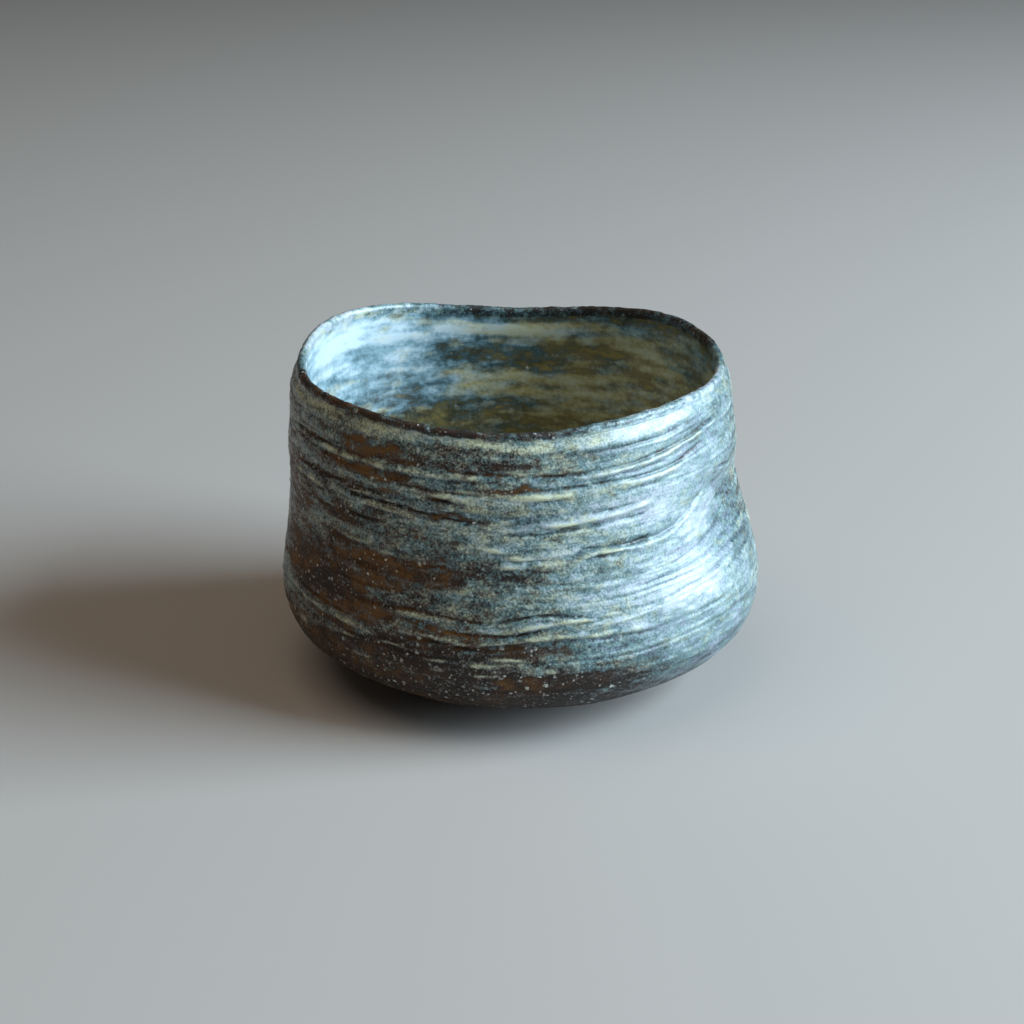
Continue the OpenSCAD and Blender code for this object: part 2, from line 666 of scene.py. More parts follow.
def with_patches(coat: Coat, patches: Iterable[CoatPatch], angle: float, height: float) -> Coat:
    """Add what the patches change at a point.

    Args:
        coat: The coat before them.
        patches: The patches.
        angle: Angle around the bowl.
        height: Height on the round bowl.

    Returns:
        The changed coat.
    """
    for patch in patches:
        share = patch.at(angle, height)
        if share > FAINT:
            coat = coat.plus(patch.change, share)
    return coat


BARE_CLAY = Coat(0.05, 0.3, 0.6)

# The lip's coat at angles around it, and the patches and specks that make it uneven
LIP_COATS = (
    (0, Coat(0.55, 0.1, 0.2)),
    (20, Coat(0.16, 0.2, 0.5)),
    (60, Coat(0.14, 0.0, 0.4)),
    (105, Coat(0.30, -0.3, -0.2)),
    (130, Coat(0.66, 0.1, 0.0)),
    (172, Coat(0.66, 0.1, 0.0)),
    (195, Coat(0.20, 0.1, 0.6)),
    (225, Coat(0.14, 0.2, 0.7)),
    # From the front to the right the grit is partly real pale grit and partly painted glints
    (258, Coat(0.16, 0.2, 0.5, 0.6)),
    (280, Coat(0.36, 0.2, 0.1, 0.6)),
    (300, Coat(0.50, -0.1, 0.1, 0.4)),
    (320, Coat(0.62, -0.3, -0.1, 0.2)),
    (340, Coat(0.60, -0.4, -0.2)),
    (360, Coat(0.55, 0.1, 0.2)),
)
LIP_PATCHES = Cloud(1.0, 7, 1, 31.3)
LIP_SPECKS = Cloud(1.0, 1.8, 1.8, 33.1)
LIP_UNEVEN = Coat(0.2, 0.1, 0.3)


def lip_coat(spot: Spot) -> Coat:
    """Give the coat on the lip, which is bare at the front left and the back right and glazed between.

    Args:
        spot: A place on the lip.

    Returns:
        The coat.
    """
    patchy = LIP_PATCHES.at(spot.level()) + LIP_SPECKS.at(spot)
    pairs = zip(LIP_COATS, LIP_COATS[1:])
    (a0, first), (a1, last) = next(pair for pair in pairs if spot.angle <= pair[1][0])
    return first.towards(last, (spot.angle - a0) / (a1 - a0)).plus(LIP_UNEVEN, patchy)


@dataclass(frozen=True)
class CombLayers:
    """The faint wandering lines that a comb leaves all over a wall, one above another."""

    gap: float
    rise: float
    seed: float
    # How far the lines wander, with the length of their sways and shivers along and up the wall
    sway: float = 2.42
    sway_lengths: Span = (60, 26)
    shiver: float = 0.99
    shiver_lengths: Span = (20, 9)
    shiver_seed: float = 3.0
    uneven_gap: float = 0.55
    uneven_gap_length: float = 2.1
    # How the lines come and go on their way round
    breaks: float = 2.4
    next_line: float = 1.37
    usual_strength: float = 0.45
    uneven_strength: float = 1.3
    # The groove, and the ridge on each side of it, in shares of the gap
    groove_width: float = 0.085
    ridge_height: float = 0.75
    ridge_place: float = 0.2
    ridge_width: float = 0.11

    def at(self, spot: Spot) -> float:
        """Give how far the lines stand out at a spot.

        Args:
            spot: A place on the wall.

        Returns:
            About minus the rise in a groove, and up to the rise on the ridges beside it.
        """
        moved = self.sway * spot.noise(*self.sway_lengths, self.seed)
        moved += self.shiver * spot.noise(*self.shiver_lengths, self.seed + self.shiver_seed)
        far = spot.height / (self.uneven_gap_length * self.gap)
        uneven = self.uneven_gap * noise.noise(Vector((self.seed, OFF_GRID, far)))
        phase = (spot.height + moved) / self.gap + uneven
        line = round(phase)
        near = abs(phase - line)
        turn = math.radians(spot.angle)
        x, y = self.breaks * math.cos(turn), self.breaks * math.sin(turn)
        strong = self.uneven_strength * noise.noise(Vector((x, y, self.seed + self.next_line * line)))
        strength = limit(self.usual_strength + strong, 0.0, 1.0)
        beside = self.ridge_height * bell((near - self.ridge_place) / self.ridge_width)
        return self.rise * strength * (beside - bell(near / self.groove_width))


@dataclass
class CombedWall:
    """The combed outside under its glaze, with the ash that fell on one side; on that lit side the glaze is
    also painted paler, cooler and calmer as light.
    """

    form: BowlForm
    lines: Tuple[CombedLine, ...]
    patches: Tuple[CoatPatch, ...]
    reach: float = 0.9
    plain: Coat = Coat(0.45, 0.50, 0.55)
    # The ash on the lit side, partly real and partly painted light that makes that side paler, cooler and
    # calmer, and how much of the rest it smooths over
    ash: Coat = Coat(0.17, -0.65, -0.70, calm=0.55)
    ash_and_light_angle: float = 318.0
    ash_and_light_half_angle: float = 42.0
    ash_on_flecks: float = 0.6
    ash_on_mottle: float = 0.5
    ash_on_line_glaze: float = 0.4
    ash_on_line_warmth: float = 0.5
    # The unevenness of the glaze and of the clay's colour
    mottle: Tuple[Cloud, ...] = (
        Cloud(0.20, 8, 2.4, 17.7),
        Cloud(0.18, 30, 5, 5.9),
        Cloud(0.20, 4, 1.8, 7.7),
    )
    warmth: Cloud = Cloud(0.55, 9, 3, 41.1)
    rust: Cloud = Cloud(0.5, 24, 5, 63.3)
    # Short flecks of thick glaze and short cuts, each where its cloud is thick enough
    fleck: Cloud = Cloud(1.4, 5, 1.2, 53.7)
    fleck_from: float = 0.28
    cut: Cloud = Cloud(1.4, 7, 1.0, 59.1)
    cut_from: float = 0.35
    fleck_rise: float = 0.2
    flecked: Coat = Coat(0.28, 0.5)
    # The ground between the lines
    layers: Tuple[CombLayers, ...] = (CombLayers(4.4, 0.22, 11.3), CombLayers(1.7, 0.10, 47.9))
    skin: Tuple[Cloud, ...] = (Cloud(0.12, 9, 5, 23.1), Cloud(0.09, 2.2, 1.4, 71.7))
    swell: Cloud = Cloud(0.45, 26, 10, 12.9)
    combed: Coat = Coat(0.3, 0.5)
    # How far the patches' outlines wander
    aside: Cloud = Cloud(5.0, 7, 3, 91.3)
    above: Cloud = Cloud(1.6, 6, 4, 95.7)
    glazes: Span = (0.06, 0.9)
    # The lines, how ragged they are, and how far they reach and calm the ground, in half widths
    ragged: Cloud = Cloud(0.9, 2.2, 1.5, 37.3)
    usual_ragged: float = 0.9
    raggeds: Span = (0.25, 1.25)
    line_reach: float = 6.0
    calm_width: float = 3.0
    calm_on_ground: float = 0.5
    line_glazes: Span = (-0.6, 0.55)
    line_warmths: Span = (-0.6, 0.9)
    columns_per_degree: int = 100
    # The glaze's lower edge over the belly, and its blend into the lip; towards the foot the glaze thins and
    # darkens, partly as painted shade
    foot_line: float = 2.5
    foot_line_waves: Tuple[Wave, ...] = ((1, -4.0, 320),)
    foot_fade: float = 13.0
    foot_thinning: Coat = Coat(-0.55, 0.2, -0.1, 0.1)
    lip_line: Cloud = Cloud(0.5, 2.5, 1, 83.9)
    lip_fade: float = 0.6
    _columns: Dict[int, List[Crossing]] = field(default_factory=dict)

    def touch(self, spot: Spot) -> Touch:
        """Comb the wall and lay its glaze.

        Args:
            spot: A place on the wall.

        Returns:
            How far the wall stands out there, and its coat.
        """
        rise, calm, drawn = self._drawn(spot)
        # The share of the ash, which also carries the lit side's painted light
        ash = bell(angle_gap(spot.angle, self.ash_and_light_angle) / self.ash_and_light_half_angle)
        flecks = self._flecks(spot) * (1 - calm) * (1 - self.ash_on_flecks * ash)
        ground = self._ground(spot) * (1 - self.calm_on_ground * calm)
        mottle = cloud_sum(self.mottle, spot) * (1 - self.ash_on_mottle * ash)
        coat = self.plain.plus(self.ash, ash).plus(self.flecked, flecks).plus(self.combed, ground)
        coat = coat.plus(Coat(mottle, self.warmth.at(spot), self.rust.at(spot)))
        aside = spot.angle + self.aside.at(spot)
        coat = with_patches(coat, self.patches, aside, spot.height + self.above.at(spot))
        coat = replace(coat, glaze=max(coat.glaze, self.glazes[0]))
        coat = coat.plus(
            Coat(
                drawn.glaze * (1 - self.ash_on_line_glaze * ash),
                drawn.warmth * (1 - self.ash_on_line_warmth * ash),
            )
        )
        rise = limit(rise + ground + self.fleck_rise * flecks, -self.reach, self.reach)
        return Touch(rise + self.swell.at(spot), self._edged(coat, spot))

    def _edged(self, coat: Coat, spot: Spot) -> Coat:
        """Thin the glaze towards the foot, darker there partly as painted shade, and blend it into the
        lip's.

        Args:
            coat: The coat of the open wall.
            spot: A place on the wall.

        Returns:
            The coat there.
        """
        foot_line = self.form.belly_h + self.foot_line + wave_sum(spot.angle, self.foot_line_waves)
        coat = coat.plus(self.foot_thinning, ease((foot_line - spot.height) / self.foot_fade))
        inset = self.form.lip_base_h - spot.height + self.lip_line.at(spot.level())
        coat = coat.towards(lip_coat(spot), 1 - ease(inset / self.lip_fade))
        return replace(coat, glaze=limit(coat.glaze, 0.0, self.glazes[1]))

    def _crossings(self, angle: float) -> List[Crossing]:
        """Find the lines that cross an angle, once for each column of the mesh.

        Args:
            angle: Angle around the bowl.

        Returns:
            Where they cross it.
        """
        column = round(angle * self.columns_per_degree)
        if column not in self._columns:
            found = [line.at(angle) for line in self.lines]
            self._columns[column] = [crossing for crossing in found if crossing]
        return self._columns[column]

    def _drawn(self, spot: Spot) -> Tuple[float, float, Coat]:
        """Add up the lines that pass close by.

        Args:
            spot: A place on the wall.

        Returns:
            How far they stand out, how much they calm the ground, and what they change in the coat.
        """
        rise = calm = glaze = warmth = 0.0
        ragged = limit(self.usual_ragged + self.ragged.at(spot), *self.raggeds)
        for crossing in self._crossings(spot.angle):
            line = crossing.line
            aside = (spot.height - crossing.height) / crossing.half_width
            if abs(aside) < self.line_reach:
                share = crossing.strength * ragged * line.profile(aside)
                rise += line.rise * share
                glaze += line.glaze * share
                warmth += line.warmth * share
                calm = max(calm, line.calm * crossing.strength * bell(aside / self.calm_width))
        return rise, calm, Coat(limit(glaze, *self.line_glazes), limit(warmth, *self.line_warmths))

    def _ground(self, spot: Spot) -> float:
        """Give the ground between the lines: faint layers, and the skin's own unevenness."""
        return sum(layer.at(spot) for layer in self.layers) + cloud_sum(self.skin, spot)

    def _flecks(self, spot: Spot) -> float:
        """Give the short flecks of thick glaze, above 0, and the short cuts between them, below 0."""
        return max(0.0, self.fleck.at(spot) - self.fleck_from) - max(0.0, self.cut.at(spot) - self.cut_from)


@dataclass
class PouredWall:
    """The inside under its poured glaze."""

    form: BowlForm
    patches: Tuple[CoatPatch, ...]
    reach: float = 0.35
    plain: Coat = Coat(0.46, 0.25, 0.40)
    # Wide clouds, bands, blots and streaks, and what each changes in the coat
    clouds: Tuple[Tuple[Cloud, Coat], ...] = (
        (Cloud(1.0, 26, 9, 3.3), Coat(0.12, 0.0, 0.50)),
        (Cloud(1.0, 24, 3.6, 8.1), Coat(0.14, 0.40)),
        (Cloud(1.0, 7, 2.4, 4.7), Coat(0.18)),
        (Cloud(1.0, 15, 1.5, 6.1), Coat(0.20, 0.60)),
    )
    # The glaze stands out in the same bands and blots
    swells: Tuple[Cloud, ...] = (Cloud(0.16, 24, 3.6, 8.1), Cloud(0.10, 7, 2.4, 4.7))
    aside: Cloud = Cloud(9.0, 9, 6, 91.3)
    above: Cloud = Cloud(1.8, 8, 6, 95.7)
    lip_line: Cloud = Cloud(1.2, 4, 2, 83.9)
    lip_fade: float = 4.0

    def touch(self, spot: Spot) -> Touch:
        """Lay the glaze in soft bands.

        Args:
            spot: A place on the inside.

        Returns:
            How far the glaze stands out there, and its coat.
        """
        coat = self.plain
        for cloud, change in self.clouds:
            coat = coat.plus(change, cloud.at(spot))
        aside = spot.angle + self.aside.at(spot)
        coat = with_patches(coat, self.patches, aside, spot.height + self.above.at(spot))
        inset = self.form.inner_top - spot.height + self.lip_line.at(spot)
        rise = limit(cloud_sum(self.swells, spot), -self.reach, self.reach)
        return Touch(rise, coat.towards(lip_coat(spot), 1 - ease(inset / self.lip_fade)))


class Wire:
    """A shader socket that can be added, multiplied and compared as a number."""

    def __init__(self, graph: "Graph", socket: bpy.types.NodeSocket) -> None:
        """Wrap a socket of a graph.

        Args:
            graph: The graph that the socket's node is in.
            socket: The output socket.
        """
        self.graph = graph
        self.socket = socket

    def _math(self, operation: str, first: "Value", second: "Value", clamp: bool = False) -> "Wire":
        """Add a Math node on two values."""
        node = self.graph.node("Math", {"operation": operation, "use_clamp": clamp}, {0: first, 1: second})
        return Wire(self.graph, node.outputs[0])

    def __add__(self, other: "Value") -> "Wire":
        """Add a value."""
        return self._math("ADD", self, other)

    def __radd__(self, other: "Value") -> "Wire":
        """Add to a value."""
        return self._math("ADD", other, self)

    def __sub__(self, other: "Value") -> "Wire":
        """Take a value away."""
        return self._math("SUBTRACT", self, other)

    def __rsub__(self, other: "Value") -> "Wire":
        """Take away from a value."""
        return self._math("SUBTRACT", other, self)

    def __mul__(self, other: "Value") -> "Wire":
        """Multiply by a value."""
        return self._math("MULTIPLY", self, other)

    def __rmul__(self, other: "Value") -> "Wire":
        """Multiply a value."""
        return self._math("MULTIPLY", other, self)

    def held(self) -> "Wire":
        """Hold the value between 0 and 1."""
        return self._math("ADD", self, 0.0, clamp=True)

    def above(self, edge: float, soft: float) -> "Wire":
        """Give 0 below an edge and 1 past it, over a soft width."""
        return ((self - edge) * (1 / soft)).held()


Value = Union[float, Sequence[float], Wire]
Sockets = Dict[Union[int, str], object]


class Graph:
    """A material's node graph."""

    def __init__(self, name: str) -> None:
        """Start a material with an empty graph.

        Args:
            name: The material's name.
        """
        self.material = bpy.data.materials.new(name)
        self.material.use_nodes = True
        self.tree = self.material.node_tree
        self.tree.nodes.clear()

    def node(
        self,
        kind: str,
        settings: Optional[Dict[str, object]] = None,
        sockets: Optional[Sockets] = None,
    ) -> bpy.types.Node:
        """Add a node.

        Args:
            kind: The node's type, without its ShaderNode prefix.
            settings: The node's own settings, or a ramp's stops.
            sockets: Values or wires for its inputs.

        Returns:
            The node.
        """
        made = self.tree.nodes.new("ShaderNode" + kind)
        for key, value in (settings or {}).items():
            if key == "stops":
                self._set_stops(made.color_ramp, value)
            else:
                setattr(made, key, value)
        for key, value in (sockets or {}).items():
            if isinstance(value, Wire):
                self.tree.links.new(value.socket, made.inputs[key])
            else:
                made.inputs[key].default_value = value
        return made

    def wire(self, node: bpy.types.Node, output: Union[int, str] = 0) -> Wire:
        """Wrap one of a node's outputs."""
        return Wire(self, node.outputs[output])

    def mix(self, factor: Value, first: Value, second: Value) -> Wire:
        """Mix two colours, where a factor of 0 gives the first."""
        # A Mix node takes colours at 6 and 7, and gives the mixed colour at 2
        sockets = {0: factor, 6: self._rgba(first), 7: self._rgba(second)}
        return self.wire(self.node("Mix", {"data_type": "RGBA"}, sockets), 2)

    def ramp(self, stops: Sequence[Stop], value: Wire) -> Wire:
        """Give the colour of a value on a ramp."""
        return self.wire(self.node("ValToRGB", {"stops": stops}, {0: value}))

    def noise(self, place: Wire, size: float, detail: float, rough: float) -> Wire:
        """Give a noise of a size in millimetres, from -0.5 to 0.5."""
        sockets = {"Vector": place, "Scale": 1 / (size * MM), "Detail": detail, "Roughness": rough}
        return self.wire(self.node("TexNoise", {}, sockets), "Fac") - 0.5

    def attribute(self, name: str) -> Wire:
        """Read one of the piece's own attributes."""
        return self.wire(self.node("Attribute", {"attribute_name": name}), "Fac")

    def surface(self, sockets: Sockets) -> bpy.types.Material:
        """Close the graph with its surface.

        Args:
            sockets: Values or wires for the surface's inputs.

        Returns:
            The material.
        """
        shader = self.node("BsdfPrincipled", {}, sockets)
        self.node("OutputMaterial", {}, {"Surface": self.wire(shader)})
        return self.material

    @staticmethod
    def _rgba(colour: Value) -> Value:
        """Give a plain colour its alpha."""
        return colour if isinstance(colour, Wire) else (*colour, 1.0)

    @staticmethod
    def _set_stops(ramp: bpy.types.ColorRamp, stops: Sequence[Stop]) -> None:
        """Set a ramp's stops.

        Args:
            ramp: The ramp.
            stops: The stops, from the lowest up.
        """
        ramp.interpolation = "LINEAR"
        while len(ramp.elements) > 1:
            ramp.elements.remove(ramp.elements[-1])
        ramp.elements[0].position = stops[0][0]
        ramp.elements[0].color = (*stops[0][1], 1.0)
        for position, colour in stops[1:]:
            ramp.elements.new(position).color = (*colour, 1.0)


@dataclass(frozen=True)
class GlazeNoises:
    """The noises in a glaze: its fine grain, its blots, its changes of hue and its coarse patches."""

    grain: Wire
    blot: Wire
    hue: Wire
    patch: Wire


@dataclass(frozen=True)
class GlazeFinish:
    """A crystalline ash glaze over iron clay, whose colour follows how thick it lies."""

    name: str
    clay: Tuple[Stop, ...] = (
        (0.10, (0.022, 0.015, 0.011)),
        (0.40, (0.040, 0.021, 0.011)),
        (0.70, (0.080, 0.036, 0.011)),
        (1.00, (0.160, 0.074, 0.018)),
    )
    cool: Tuple[Stop, ...] = (
        (0.24, (0.015, 0.032, 0.036)),
        (0.42, (0.046, 0.106, 0.110)),
        (0.60, (0.155, 0.262, 0.266)),
        (0.88, (0.50, 0.56, 0.59)),
    )
    warm: Tuple[Stop, ...] = (
        (0.24, (0.040, 0.024, 0.022)),
        (0.42, (0.105, 0.085, 0.060)),
        (0.60, (0.275, 0.285, 0.190)),
        (0.88, (0.60, 0.63, 0.42)),
    )
    violet: Tuple[Stop, ...] = (
        (0.24, (0.030, 0.032, 0.042)),
        (0.42, (0.085, 0.105, 0.140)),
        (0.60, (0.215, 0.255, 0.320)),
        (0.88, (0.55, 0.57, 0.63)),
    )
    violet_amount: float = 1.0
    # Where the clay shows through, and how calm the glaze is where it lies thicker than usual
    bare_below: float = 0.16
    bare_soft: float = 0.20
    usual_glaze: float = 0.45
    thick_calm: float = 0.3
    # The sizes of the noises, and how strongly each shows
    grain: float = 0.55
    grain_amount: float = 1.25
    blot: float = 1.1
    blot_stretch: float = 1.5
    blot_amount: float = 1.0
    hue: float = 2.0
    hue_amount: float = 3.6
    patch: float = 5.0
    rust_from_patch: float = 1.6
    rust_from_hue: float = 1.4
    rust_from_grain: float = 1.1
    # The grit: each kind's mean gap and size, how much of it there is, and how it looks
    grit_sizes: Tuple[Tuple[float, float], ...] = ((1.1, 0.26), (2.1, 0.46))
    grit_share: float = 0.40
    grit_step: float = 0.01
    grit_clusters: float = 1.6
    grit_colour: Colour = (0.72, 0.73, 0.66)
    grit_largest: float = 1.6
    grit_jagged: float = 0.7
    grit_soft: float = 0.7
    grit_faintest: float = 0.4
    grit_sunk: float = 0.7
    grit_shine: float = 0.25
    # The surface
    bare_roughness: float = 0.55
    glaze_roughness: float = 0.5
    specular: float = 0.3
    sheen: float = 0.9
    sheen_roughness: float = 0.42
    sheen_ior: float = 1.6
    relief: float = 0.16
    bump: float = 0.8

    def material(self) -> bpy.types.Material:
        """Build the material.

        Returns:
            The material, which reads the piece's own coat attributes.
        """
        graph = Graph(self.name)
        place = graph.wire(graph.node("TexCoord"), "Object")
        noises = self._noises(graph, place)
        level = self._level(graph, noises)
        cover = level.above(self.bare_below, self.bare_soft)
        grit = self._grit(graph, place, noises) * (1 - cover * self.grit_sunk)
        roughness = self.bare_roughness + cover * (self.glaze_roughness - self.bare_roughness)
        sockets = {"Strength": self.bump, "Distance": self.relief * MM, "Height": level + grit}
        return graph.surface(
            {
                "Base Color": graph.mix(grit, self._colour(graph, noises, level, cover), self.grit_colour),
                "Roughness": roughness - grit * self.grit_shine,
                "Specular IOR Level": self.specular,
                "Coat Weight": cover * self.sheen,
                "Coat Roughness": self.sheen_roughness,
                "Coat IOR": self.sheen_ior,
                "Normal": graph.wire(graph.node("Bump", {}, sockets)),
            }
        )

    def _noises(self, graph: Graph, place: Wire) -> GlazeNoises:
        """Make the noises, with the blots and hues drawn out along the wall.

        Args:
            graph: The material's graph.
            place: The place on the piece.

        Returns:
            The noises.
        """
        stretch = self.blot_stretch
        along = graph.wire(graph.node("Mapping", {}, {"Vector": place, "Scale": (1.0, 1.0, stretch)}))
        return GlazeNoises(
            grain=graph.noise(place, self.grain, detail=2.0, rough=0.65),
            blot=graph.noise(along, self.blot * stretch, detail=3.0, rough=0.6),
            hue=graph.noise(along, self.hue * stretch, detail=4.0, rough=0.65),
            patch=graph.noise(place, self.patch, detail=3.0, rough=0.55),
        )

    def _level(self, graph: Graph, noises: GlazeNoises) -> Wire:
        """Speckle the glaze's thickness.

        Args:
            graph: The material's graph.
            noises: The glaze's noises.

        Returns:
            How thick the glaze lies, from about 0 to 1.
        """
        glaze = graph.attribute("glaze")
        speckle = noises.grain * self.grain_amount + noises.blot * self.blot_amount
        lively = (1 - graph.attribute("calm")) * (1 + (self.usual_glaze - glaze) * self.thick_calm)
        return glaze + speckle * lively

    def _colour(self, graph: Graph, noises: GlazeNoises, level: Wire, cover: Wire) -> Wire:
        """Mix the colours of the clay and of the glaze over it.

        Args:
            graph: The material's graph.
            noises: The glaze's noises.
            level: How thick the glaze lies.
            cover: 0 where the clay is bare and 1 where the glaze hides it.

        Returns:
            The colour.
        """
        warmth = graph.attribute("warmth") + noises.hue * self.hue_amount
        rust = graph.attribute("rust") + noises.patch * self.rust_from_patch
        rust = rust + noises.hue * self.rust_from_hue + noises.grain * self.rust_from_grain
        violet = (0 - warmth * self.violet_amount).held()
        cool = graph.mix(violet, graph.ramp(self.cool, level), graph.ramp(self.violet, level))
        glaze = graph.mix(warmth.held(), cool, graph.ramp(self.warm, level))
        return graph.mix(cover, graph.ramp(self.clay, rust), glaze)

    def _grit(self, graph: Graph, place: Wire, noises: GlazeNoises) -> Wire:
        """Scatter the pale grit that lies in clusters on the clay.

        Args:
            graph: The material's graph.
            place: The place on the piece.
            noises: The glaze's noises.

        Returns:
            1 on a grain and 0 beside it.
        """
        more = graph.attribute("grit") - noises.patch * self.grit_clusters
        total: Value = 0.0
        for gap, size in self.grit_sizes:
            cells = graph.node("TexVoronoi", {}, {"Vector": place, "Scale": 1 / (gap * MM)})
            chance = graph.node("SeparateColor", {}, {0: graph.wire(cells, "Color")})
            kept, wide, bright = (graph.wire(chance, i) for i in range(3))
            edge = wide * (self.grit_largest * size / gap) + noises.grain * self.grit_jagged
            grain = (edge - graph.wire(cells, "Distance")).above(0.0, self.grit_soft * size / gap)
            strength = self.grit_faintest + bright * (1 - self.grit_faintest)
            total = total + (kept + more).above(1 - self.grit_share, self.grit_step) * grain * strength
        return total.held()


@dataclass(frozen=True)
class FloorFinish:
    """A plain pale studio floor."""

    name: str = "pale_floor"
    colour: Colour = (0.50, 0.455, 0.42)
    roughness: float = 0.7
    specular: float = 0.1

    def material(self) -> bpy.types.Material:
        """Build the material.

        Returns:
            The material.
        """
        return Graph(self.name).surface(
            {
                "Base Color": (*self.colour, 1.0),
                "Roughness": self.roughness,
                "Specular IOR Level": self.specular,
            }
        )


OUTER_FINISH = GlazeFinish(name="outer_ash_glaze")

# The inside's clay and warm ramps are painted lighter and redder than the glaze is, to stand for the light
# from above on the inside's shaded right
INNER_FINISH = GlazeFinish(
    name="inner_ash_glaze",
    clay=(
        (0.10, (0.060, 0.062, 0.040)),
        (0.55, (0.200, 0.165, 0.065)),
        (1.00, (0.420, 0.320, 0.110)),
    ),
    cool=(
        (0.22, (0.024, 0.050, 0.058)),
        (0.40, (0.070, 0.140, 0.160)),
        (0.60, (0.235, 0.37, 0.42)),
        (0.85, (0.60, 0.71, 0.76)),
    ),
    warm=(
        (0.22, (0.085, 0.066, 0.032)),
        (0.40, (0.330, 0.240, 0.080)),
        (0.60, (0.54, 0.46, 0.21)),
        (0.85, (0.68, 0.67, 0.46)),
    ),
    grain=1.2,
    grain_amount=0.5,
    blot=2.2,
    blot_stretch=2.4,
    blot_amount=1.1,
    hue=4.0,
    hue_amount=2.9,
    violet_amount=0.0,
    grit_share=0.05,
    bump=0.3,
)

CLAY_FINISH = GlazeFinish(
    name="bare_iron_clay",
    clay=(
        (0.10, (0.024, 0.017, 0.015)),
        (0.55, (0.044, 0.023, 0.013)),
        (1.00, (0.110, 0.052, 0.020)),
    ),
    grain_amount=0.8,
    blot_amount=0.7,
    grit_share=0.30,
)


@dataclass(frozen=True)
class ProfilePoint:
    """A point of a round piece's cut outline, and how far its surface is worked there."""

    r: float
    z: float
    worked: float = 0.0


@dataclass
class ThrownPiece:
    """A piece that is spun from its cut outline, worked and pressed."""

    form: BowlForm
    name: str
    node: Node
    slot: Slot
    finish: GlazeFinish
    around: int = 360
    weld: float = 0.001

    def outline(self) -> List[ProfilePoint]:
        """Give the cut outline, from its start round to its end."""
        raise NotImplementedError

    def closed(self) -> bool:
        """Say whether the outline's end joins its start."""
        return True

    def touch(self, spot: Spot) -> Touch:
        """Say how the piece's surface is worked at a spot."""
        raise NotImplementedError

    def build(self) -> bpy.types.Object:
        """Throw, work, press and dress the piece.

        Returns:
            The finished object.
        """
        mesh = bmesh.new()
        self._throw(mesh)
        self._work(mesh)
        self._press(mesh)
        bmesh.ops.scale(mesh, vec=Vector((MM, MM, MM)), verts=mesh.verts)
        for face in mesh.faces:
            face.smooth = True
        data = bpy.data.meshes.new(self.name)
        mesh.to_mesh(data)
        mesh.free()
        data.materials.append(self.finish.material())
        piece = bpy.data.objects.new(self.name, data)
        bpy.context.scene.collection.objects.link(piece)
        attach(piece, BODY)
        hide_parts(self.node.value)
        return piece

    def _throw(self, mesh: bmesh.types.BMesh) -> None:
        """Spin the outline round the bowl's axis.

        Args:
            mesh: The empty mesh.
        """
        share = mesh.verts.layers.float.new("worked")
        corners = []
        for point in self.outline():
            corner = mesh.verts.new((point.r, 0.0, point.z))
            corner[share] = point.worked
            corners.append(corner)
        ends = corners[1:] + (corners[:1] if self.closed() else [])
        edges = [mesh.edges.new(pair) for pair in zip(corners, ends)]
        bmesh.ops.spin(
            mesh,
            geom=corners + edges,
            cent=Vector(),
            axis=Vector((0, 0, 1)),
            angle=2 * math.pi,
            steps=self.around,
            use_merge=True,
        )
        bmesh.ops.remove_doubles(mesh, verts=mesh.verts, dist=self.weld)
        bmesh.ops.recalc_face_normals(mesh, faces=mesh.faces)

    def _work(self, mesh: bmesh.types.BMesh) -> None:
        """Comb the round surface and lay its glaze.

        Args:
            mesh: The thrown mesh.
        """
        mesh.normal_update()
        share = mesh.verts.layers.float["worked"]
        layers = {part.name: mesh.verts.layers.float.new(part.name) for part in fields(Coat)}
        moves = []
        for corner in mesh.verts:
            touch = self.touch(Spot.of(corner.co)) if corner[share] else Touch(0.0, BARE_CLAY)
            for name, layer in layers.items():
                corner[layer] = getattr(touch.coat, name)
            moves.append((corner, corner.normal * (touch.rise * corner[share])))
        for corner, move in moves:
            corner.co += move
        mesh.verts.layers.float.remove(mesh.verts.layers.float["worked"])

    def _press(self, mesh: bmesh.types.BMesh) -> None:
        """Press the round piece out of true.

        Args:
            mesh: The worked mesh.
        """
        for corner in mesh.verts:
            spot = Spot.of(corner.co)
            corner.co = self.form.press(spot.angle, spot.r, spot.height)


